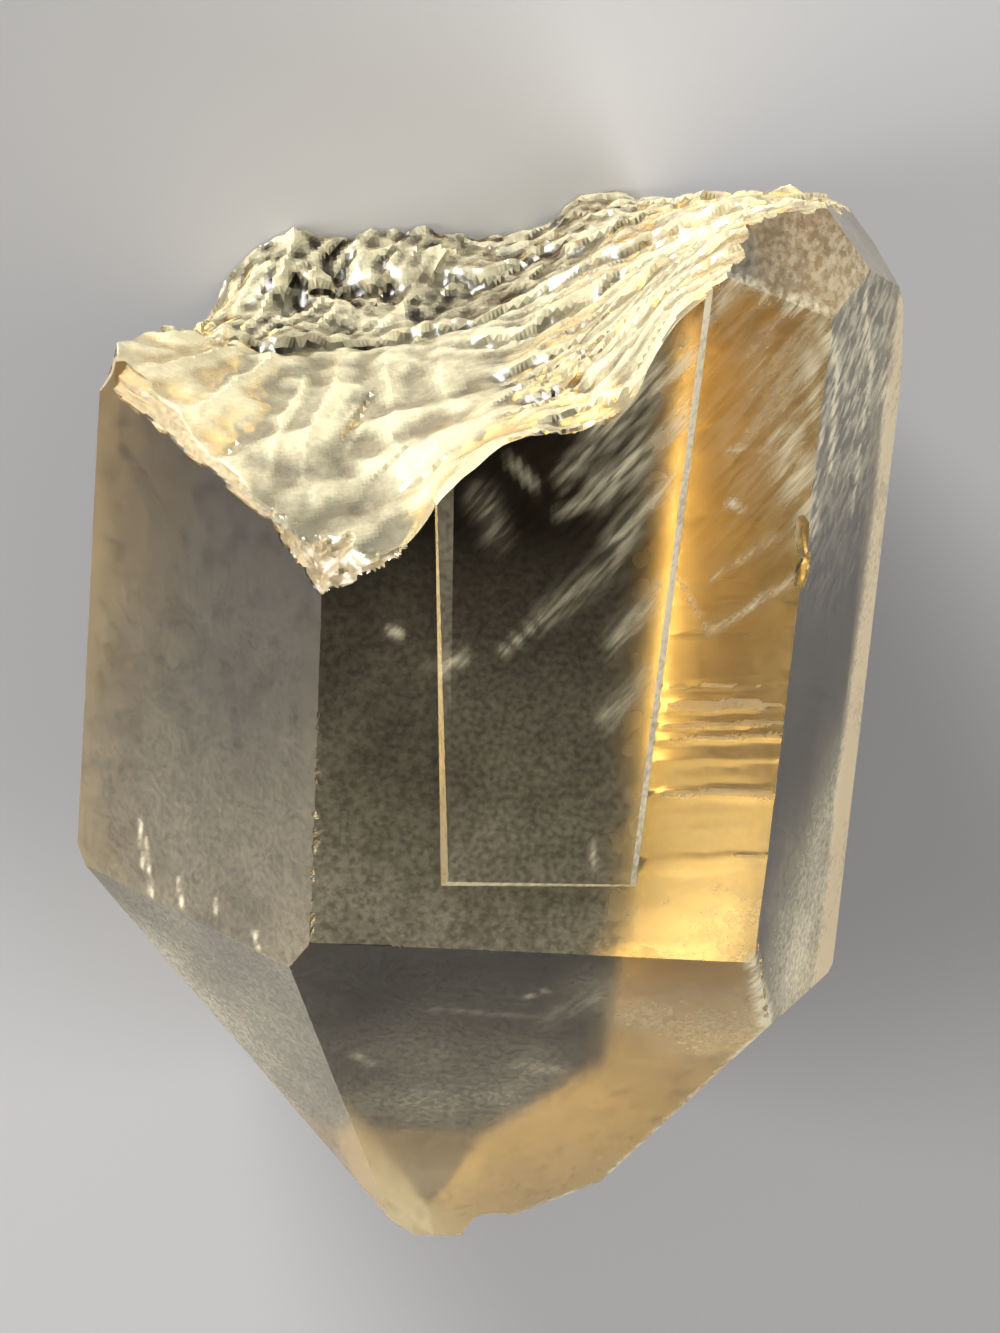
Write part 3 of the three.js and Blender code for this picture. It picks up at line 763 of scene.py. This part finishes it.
def face_relief(name):
    """How far the surface of a face stands below its plane, in mm.

    u runs along the crystal and v across the face. Growth lines run across."""
    seed = 20 + list(FACES).index(name)

    def wavy(u, v):
        along, across = u * WAVE_STRETCH[0], v * WAVE_STRETCH[1]
        wave = WAVE_SWING * layers(along, across, WAVE_PER_MM, seed, 2)
        return -WAVE_SINK + np.minimum(wave, WAVE_TOP)

    def lined(u, v):
        lines = grain(u, v * LINE_CHANGE, LINES_PER_MM, seed)
        fine_lines = grain(u, v * FINE_LINE_CHANGE, FINE_LINES_PER_MM, seed + 3)
        lines = lines + FINE_LINE_SHARE * fine_lines
        patch = rise(*LINE_PATCH_EDGE, grain(u, v, LINE_PATCHES_PER_MM, seed + 5))
        patch = FAINTEST_LINES + (1 - FAINTEST_LINES) * patch
        return wavy(u, v) - LINE_DEPTH * patch * (1 + np.clip(lines, -1, 1))

    def striated(u, v):
        tilted = u - STRIA_SLANT * v
        grooves = rise(*STRIA_EDGE, grain(tilted, v * LINE_CHANGE, STRIA_PER_MM, STRIA_SEED))
        place = rise(*STRIA_LEFT, v) * rise(*STRIA_LOW, u) * (1 - rise(*STRIA_HIGH, u))
        return lined(u, v) - STRIA_DEPTH * place * grooves

    if name == "top":
        return striated
    return lined if name in PRISM_FACES else wavy


def cut_face(crystal, name, blank):
    turn, lean, distance = FACES[name]
    normal = unit(turn, lean)
    on_face = blank[np.abs(blank @ normal - distance) < ON_PLANE]
    along = np.array([0, 1.0, 0]) - normal * normal[1]
    along /= np.linalg.norm(along)
    across = np.cross(along, normal)
    step, step_across = FINE_STEPS if name in FINE_FACES else PLAIN_STEPS
    us = fine_range(on_face @ along, step)
    vs = fine_range(on_face @ across, step_across)

    def place(u, v, height):
        base = normal * distance
        base = base + np.multiply.outer(u, along) + np.multiply.outer(v, across)
        return base + np.multiply.outer(height, normal)

    cutter = slab(name, us, vs, place, face_relief(name), SLAB_THICKNESS)
    combine(crystal, cutter, "DIFFERENCE")


def add_panel(crystal):
    top = PRISM_FACES["top"][2]
    panel = [(x, y, top - STEP_ROOT) for x, y in STEP_FOOT] + [(x, y, top) for x, y in STEP_FOOT]
    panel += [(x, y, top + STEP_HEIGHT - STEP_SINK) for x, y in STEP_TOP]
    combine(crystal, subdivided(hull_object("step", panel), STEP_CUTS), "UNION")


def cut_break(crystal):
    xs = np.arange(*BREAK_X, BREAK_STEP)
    zs = np.arange(*BREAK_Z, BREAK_STEP)

    def place(x, z, y):
        return np.stack([x, y, z], -1)

    cutter = slab("break", xs, zs, place, break_height, BREAK_RUN_ON)
    combine(crystal, cutter, "DIFFERENCE")


def cut_chips(crystal):
    for outline, outward in (CORNER_CHIP, RIM_CHIP):
        corners = np.array(outline)
        corners = np.concatenate([corners, corners + np.array(outward)])
        chip = roughened(hull_object("chip", corners), np.array(outward))
        combine(crystal, chip, "DIFFERENCE")
    for centre, radii, turn in EDGE_CHIPS:
        combine(crystal, scoop("chip", centre, radii, turn, CHIP_UNEVENNESS), "DIFFERENCE")
    for centre, radii, turn in nicks():
        combine(crystal, scoop("nick", centre, radii, turn, NICK_UNEVENNESS), "DIFFERENCE")


def build_crystal():
    blank = convex_corners(list(FACES.values()) + [BLANK_END])
    grown = convex_corners([(t, a, d + GROWTH) for t, a, d in FACES.values()] + [BLANK_END])
    crystal = hull_object("citrine_crystal_visual", grown)
    for name in FACES:
        cut_face(crystal, name, blank)
    add_panel(crystal)
    cut_break(crystal)
    cut_chips(crystal)
    return crystal


def break_haze(x, z):
    """How milky the break is, with painted shade in its creases and pits."""
    ragged, back = ragged_part(x, z), 1 - rise(*BACK_START, z)
    milk = BREAK_MILK + HOLLOW_MILK * hollow_part(x, z) + RAGGED_MILK * ragged + BACK_MILK * back
    swing = MILK_SWING + KNOB_MILK_SWING * knob_part(x, z)
    milk = milk + swing * layers(x, z, *MILK_LAYERS)
    px, pz, reach, most = WHITE_SPOT
    milk = milk + most * np.exp(-((x - px) ** 2 + (z - pz) ** 2) / reach ** 2)
    # Painted shade: creases and pits are made clearer, and so darker, than the crests.
    lowest = CLEAREST_SHADED_CREASE + CLEAREST_SHADED_RAGGED * ragged
    highest = MILKIEST_CREST + MILKIEST_BACK * back
    return milk + np.clip(CREST_MILK_AND_CREASE_SHADE * crest_height(x, z), lowest, highest)


def veil_strength(points):
    """How milky each point is from the veils just under the surface."""
    strength = np.zeros(len(points))
    for start, end, width, most in VEILS:
        a, b = np.array(start, float), np.array(end, float)
        way = b - a
        share = np.clip((points - a) @ way / (way @ way), 0, 1)
        off = np.linalg.norm(points - a - np.outer(share, way), axis=1)
        strength = np.maximum(strength, most * np.exp(-((off / width) ** 2)))
    return strength


def glow(points, middle, reach, most):
    """A soft round patch: most in its middle, nothing far beyond its reach."""
    return most * np.exp(-((points - middle) ** 2).sum(1) / reach ** 2)


def on_bevel(centre, normal):
    """True on the slopes at the sides of the raised panel."""
    top = PRISM_FACES["top"][2]
    low_end, high_end = top + BEVEL_MARGIN, top + STEP_HEIGHT + BEVEL_MARGIN
    between = (centre[:, 2] > low_end) & (centre[:, 2] < high_end)
    return between & (normal[:, 2] > ROUGHLY_UP) & (normal[:, 2] < SQUARELY_UP)


def read_values(items, name, width=1, kind=float):
    """One row of width values for each item, or one value where the width is 1."""
    values = np.empty(len(items) * width, kind)
    items.foreach_get(name, values)
    return values.reshape(-1, width) if width > 1 else values


def mark_faces(marks, centre, normal):
    """Gives each polygon the finish of the face that it is closest to, and returns the gap."""
    gap = np.full(len(marks), np.inf)
    top = PRISM_FACES["top"][2]
    for name, (turn, lean, distance) in FACES.items():
        off = np.abs(centre @ unit(turn, lean) - distance)
        if name == "top":
            on_panel = (centre[:, 2] > top + PANEL_FROM) & (normal[:, 2] > ROUGHLY_UP)
            off = np.where(on_panel, 0, off)
        nearer = (off < gap) & (off < FACE_REACH)
        ends = TIP_ENDS if name in TIP_FACES else PRISM_ENDS
        share = np.clip((centre[nearer, 1] - ends[0]) / (ends[1] - ends[0]), 0, 1)
        rough_a, rough_b, haze_a, haze_b = FINISH[name]
        marks[nearer, 0] = rough_a + (rough_b - rough_a) * share
        marks[nearer, 1] = haze_a + (haze_b - haze_a) * share
        if name == "top":
            x = centre[nearer, 0]
            marks[nearer, 0] += TOP_BLUR * (rise(*TOP_BLUR_START, x) * (1 - rise(*TOP_BLUR_END, x)))
        if name == "right":
            # A painted strip of refracted light along the lower edge of the right face.
            edge = rise(*PAINTED_STRIP_BAND, centre[nearer, 2])
            marks[nearer, 1] += PAINTED_STRIP_HAZE * edge
            marks[nearer, 2] = PAINTED_STRIP_TINT * edge
        gap = np.minimum(gap, off)
    return gap


def mark_surfaces(obj):
    """Sets a colour on each corner: roughness, haze, tint (1 on the break) and veils."""
    mesh = obj.data
    centre = read_values(mesh.polygons, "center", 3)
    normal = read_values(mesh.polygons, "normal", 3)
    marks = np.zeros((len(centre), 4), np.float32)
    marks[:, 0], marks[:, 1] = CHIP_FINISH
    gap = mark_faces(marks, centre, normal)
    bevel = on_bevel(centre, normal)
    left, right = normal[:, 0] < 0, normal[:, 0] > 0
    # The right slope gets painted light: much haze, so that it is pale though it faces away from the
    # key.
    for side, finish in ((left, LEFT_BEVEL_FINISH), (right, RIGHT_BEVEL_PAINTED_LIGHT_FINISH)):
        marks[bevel & side, 0], marks[bevel & side, 1] = finish
    marks[gap > FACE_REACH, 2] = CHIP_TINT
    for middle, reach, most in CLOUDS:
        marks[:, 1] += glow(centre, middle, reach, most)
    marks[:, 3] = glow(centre, *CORNER_VEIL)
    off_break = np.abs(centre[:, 1] - break_height(centre[:, 0], centre[:, 2]))
    on_break = (off_break < BREAK_REACH) & (gap > BREAK_CLEARANCE)
    marks[on_break, 0] = BREAK_ROUGHNESS
    marks[on_break, 1] = break_haze(centre[on_break, 0], centre[on_break, 2])
    marks[on_break, 2] = 1
    marks[on_break, 3] = 0
    colours = np.repeat(marks, read_values(mesh.polygons, "loop_total", kind=int), 0)
    corner = read_values(mesh.loops, "vertex_index", kind=int)
    veiled = veil_strength(read_values(mesh.vertices, "co", 3))[corner]
    colours[:, 3] += np.where(colours[:, 2] == 1, 0, veiled)
    layer = mesh.color_attributes.new("surface", "FLOAT_COLOR", "CORNER")
    layer.data.foreach_set("color", colours.ravel())


def place_in_frame(obj):
    """Moves the crystal from its own millimetres to the frame's metres."""
    points = (read_values(obj.data.vertices, "co", 3) + AXIS_SHIFT) * MM
    obj.data.vertices.foreach_set("co", points.ravel())
    obj.data.update()


# ---------------------------------------------------------------- materials

def new_material(name):
    material = bpy.data.materials.new(name)
    material.use_nodes = True
    nodes = material.node_tree.nodes
    nodes.clear()
    return material, nodes, material.node_tree.links


def citrine_material():
    material, nodes, links = new_material("citrine")

    def joined(node, *values):
        for socket, value in zip(node.inputs, values):
            if isinstance(value, (int, float)):
                socket.default_value = value
            else:
                links.new(value, socket)
        return node.outputs[0]

    def math_node(operation, *values):
        node = nodes.new("ShaderNodeMath")
        node.operation = operation
        return joined(node, *values)

    def noise(scale, detail, stretch=(1, 1, 1), roughness=0.5, turn=0.0):
        mapping = nodes.new("ShaderNodeMapping")
        mapping.vector_type = "TEXTURE"
        mapping.inputs["Rotation"].default_value = (0, 0, turn)
        mapping.inputs["Scale"].default_value = tuple(1 / v for v in stretch)
        links.new(coords.outputs["Object"], mapping.inputs["Vector"])
        node = nodes.new("ShaderNodeTexNoise")
        node.inputs["Scale"].default_value = scale
        node.inputs["Detail"].default_value = detail
        node.inputs["Roughness"].default_value = roughness
        links.new(mapping.outputs["Vector"], node.inputs["Vector"])
        return node.outputs["Fac"]

    def spread(value, low, high, to_low, to_high):
        node = nodes.new("ShaderNodeMapRange")
        node.clamp = True
        return joined(node, value, low, high, to_low, to_high)

    coords = nodes.new("ShaderNodeTexCoord")
    output = nodes.new("ShaderNodeOutputMaterial")
    body = nodes.new("ShaderNodeBsdfPrincipled")
    body.inputs["IOR"].default_value = IOR
    links.new(body.outputs["BSDF"], output.inputs["Surface"])
    absorb = nodes.new("ShaderNodeVolumeAbsorption")
    absorb.inputs["Color"].default_value = ABSORPTION_COLOUR
    absorb.inputs["Density"].default_value = ABSORPTION_DENSITY
    links.new(absorb.outputs["Volume"], output.inputs["Volume"])

    marks = nodes.new("ShaderNodeVertexColor")
    marks.layer_name = "surface"
    split = nodes.new("ShaderNodeSeparateColor")
    links.new(marks.outputs["Color"], split.inputs["Color"])
    rough, haze, broken = (split.outputs[k] for k in ("Red", "Green", "Blue"))

    tint = nodes.new("ShaderNodeValToRGB")
    tint.color_ramp.elements[0].color = FACE_TINT
    tint.color_ramp.elements[1].color = BREAK_TINT
    tint.color_ramp.elements.new(CHIP_TINT).color = CHIP_COLOUR
    links.new(broken, tint.inputs["Fac"])
    links.new(tint.outputs["Color"], body.inputs["Base Color"])

    # A fine mottle, which is weaker on the break.
    mottle = spread(noise(*MOTTLE_NOISE), *USUAL_NOISE, -1, 1)
    mottle = math_node("MULTIPLY", mottle, spread(broken, 0, 1, MOTTLE_ON_FACES, MOTTLE_ON_BREAK))
    cloud = noise(*CLOUD_NOISE, roughness=FINE_NOISE_SHARE)
    cloud = spread(cloud, *USUAL_NOISE, *CLOUD_SWING)
    hazed = math_node("MULTIPLY", math_node("MULTIPLY_ADD", haze, mottle, haze), cloud)
    # The veils are made of fine fibres that run across the crystal at a slant.
    fibres = noise(*FIBRE_NOISE, FIBRE_STRETCH, FINE_NOISE_SHARE, VEIL_SLANT)
    fibres = spread(fibres, *FIBRE_RANGE, *FIBRE_SWING)
    veiled = math_node("MULTIPLY", marks.outputs["Alpha"], fibres)
    hazed = math_node("MINIMUM", math_node("ADD", hazed, veiled), MOST_HAZE)
    links.new(math_node("SUBTRACT", 1.0, hazed), body.inputs["Transmission Weight"])

    grit = spread(noise(*GRIT_NOISE), *USUAL_NOISE, *GRIT_SWING)
    links.new(math_node("MULTIPLY", rough, grit), body.inputs["Roughness"])
    return material


def floor_material():
    material, nodes, links = new_material("pale_floor")
    output = nodes.new("ShaderNodeOutputMaterial")
    body = nodes.new("ShaderNodeBsdfPrincipled")
    body.inputs["Base Color"].default_value = FLOOR_COLOUR
    body.inputs["Roughness"].default_value = FLOOR_ROUGHNESS
    links.new(body.outputs["BSDF"], output.inputs["Surface"])
    return material


# ---------------------------------------------------------------- the floor, light and camera

# In metres. The floor lies a hair below the crystal, so that the two never share a plane.
FLOOR_HALF = 1.5
FLOOR_GAP = 0.00005
FLOOR_COLOUR = (0.74, 0.74, 0.76, 1)
FLOOR_ROUGHNESS = 0.9
LIGHT_TARGET = (0, 0, 0.01)
LIGHT_COLOUR = (1.0, 0.98, 0.95)
# Of each light: its place, its diameter and its power in watts.
LIGHTS = {
    "key": ((-0.42, 0.65, 0.2), 0.3, 7.2),
    "left": ((-0.66, -0.15, 0.16), 0.35, 4.3),
    "fill": ((0.62, -0.3, 0.26), 0.5, 3.9),
}
AIR_COLOUR = (1.0, 0.97, 0.93, 1)
AIR_STRENGTH = 0.08
# The camera stands above the crystal, a little toward its break, with the break at the top. Turns
# are in degrees, and the distance and the size of a pixel at the crystal in millimetres.
CAMERA_TURN = 10.618
CAMERA_RISE = 15.955
CAMERA_ROLL = 5.0
CAMERA_DISTANCE = 246.585
PICTURE_HEIGHT = 1333
PIXEL = 0.04
SENSOR = 36


def add_floor():
    corners = [(-1, -1), (1, -1), (1, 1), (-1, 1)]
    corners = [(x * FLOOR_HALF, y * FLOOR_HALF, 0) for x, y in corners]
    floor = add_object("floor", corners, [(0, 1, 2, 3)])
    floor.location.z = -FLOOR_GAP
    floor.data.materials.append(floor_material())
    return floor


def area_light(name, location, size, power):
    data = bpy.data.lights.new(name, "AREA")
    data.shape = "DISK"
    data.size = size
    data.energy = power
    data.color = LIGHT_COLOUR
    obj = linked(name, data)
    obj.location = location
    aim = Vector(LIGHT_TARGET) - Vector(location)
    obj.rotation_euler = aim.to_track_quat("-Z", "Y").to_euler()


def add_air():
    """A faint even light from all around."""
    world = bpy.data.worlds.new("studio")
    bpy.context.scene.world = world
    world.use_nodes = True
    background = world.node_tree.nodes["Background"]
    background.inputs["Color"].default_value = AIR_COLOUR
    background.inputs["Strength"].default_value = AIR_STRENGTH


def camera_axes():
    """The camera's right, its up and the way back from the crystal to it."""
    a, t, roll = (math.radians(v) for v in (CAMERA_TURN, CAMERA_RISE, CAMERA_ROLL))
    back = np.array([-math.sin(a) * math.cos(t), math.sin(t), math.cos(a) * math.cos(t)])
    up = np.array([0, 1, 0]) - back * back[1]
    up /= np.linalg.norm(up)
    right = np.cross(up, back)
    return (right * math.cos(roll) + up * math.sin(roll),
            up * math.cos(roll) - right * math.sin(roll), back)


def add_camera():
    right, up, back = camera_axes()
    data = bpy.data.cameras.new("camera")
    data.lens = SENSOR * CAMERA_DISTANCE / (PICTURE_HEIGHT * PIXEL)
    data.clip_start = 0.01
    data.clip_end = 10
    camera = linked("camera", data)
    pose = Matrix([[*row] for row in np.stack([right, up, back], 1)]).to_4x4()
    pose.translation = Vector((back * CAMERA_DISTANCE + AXIS_SHIFT) * MM)
    camera.matrix_world = pose
    bpy.context.scene.camera = camera


def set_light_paths():
    cycles = bpy.context.scene.cycles
    cycles.max_bounces = 24
    cycles.transmission_bounces = 24
    cycles.glossy_bounces = 12
    cycles.diffuse_bounces = 4
    cycles.transparent_max_bounces = 16
    cycles.sample_clamp_indirect = 6
    cycles.caustics_refractive = False
    cycles.caustics_reflective = False
    bpy.context.scene.view_settings.view_transform = "Standard"


# ---------------------------------------------------------------- the scene

crystal = build_crystal()
mark_surfaces(crystal)
place_in_frame(crystal)
crystal.data.shade_smooth()
crystal.data.set_sharp_from_angle(angle=SHARP_ANGLE)
crystal.data.materials.clear()
crystal.data.materials.append(citrine_material())
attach(crystal, "root")
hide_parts("citrine_crystal")

floor = add_floor()
for name, (location, size, power) in LIGHTS.items():
    area_light(name, location, size, power)
add_air()
add_camera()
set_light_paths()
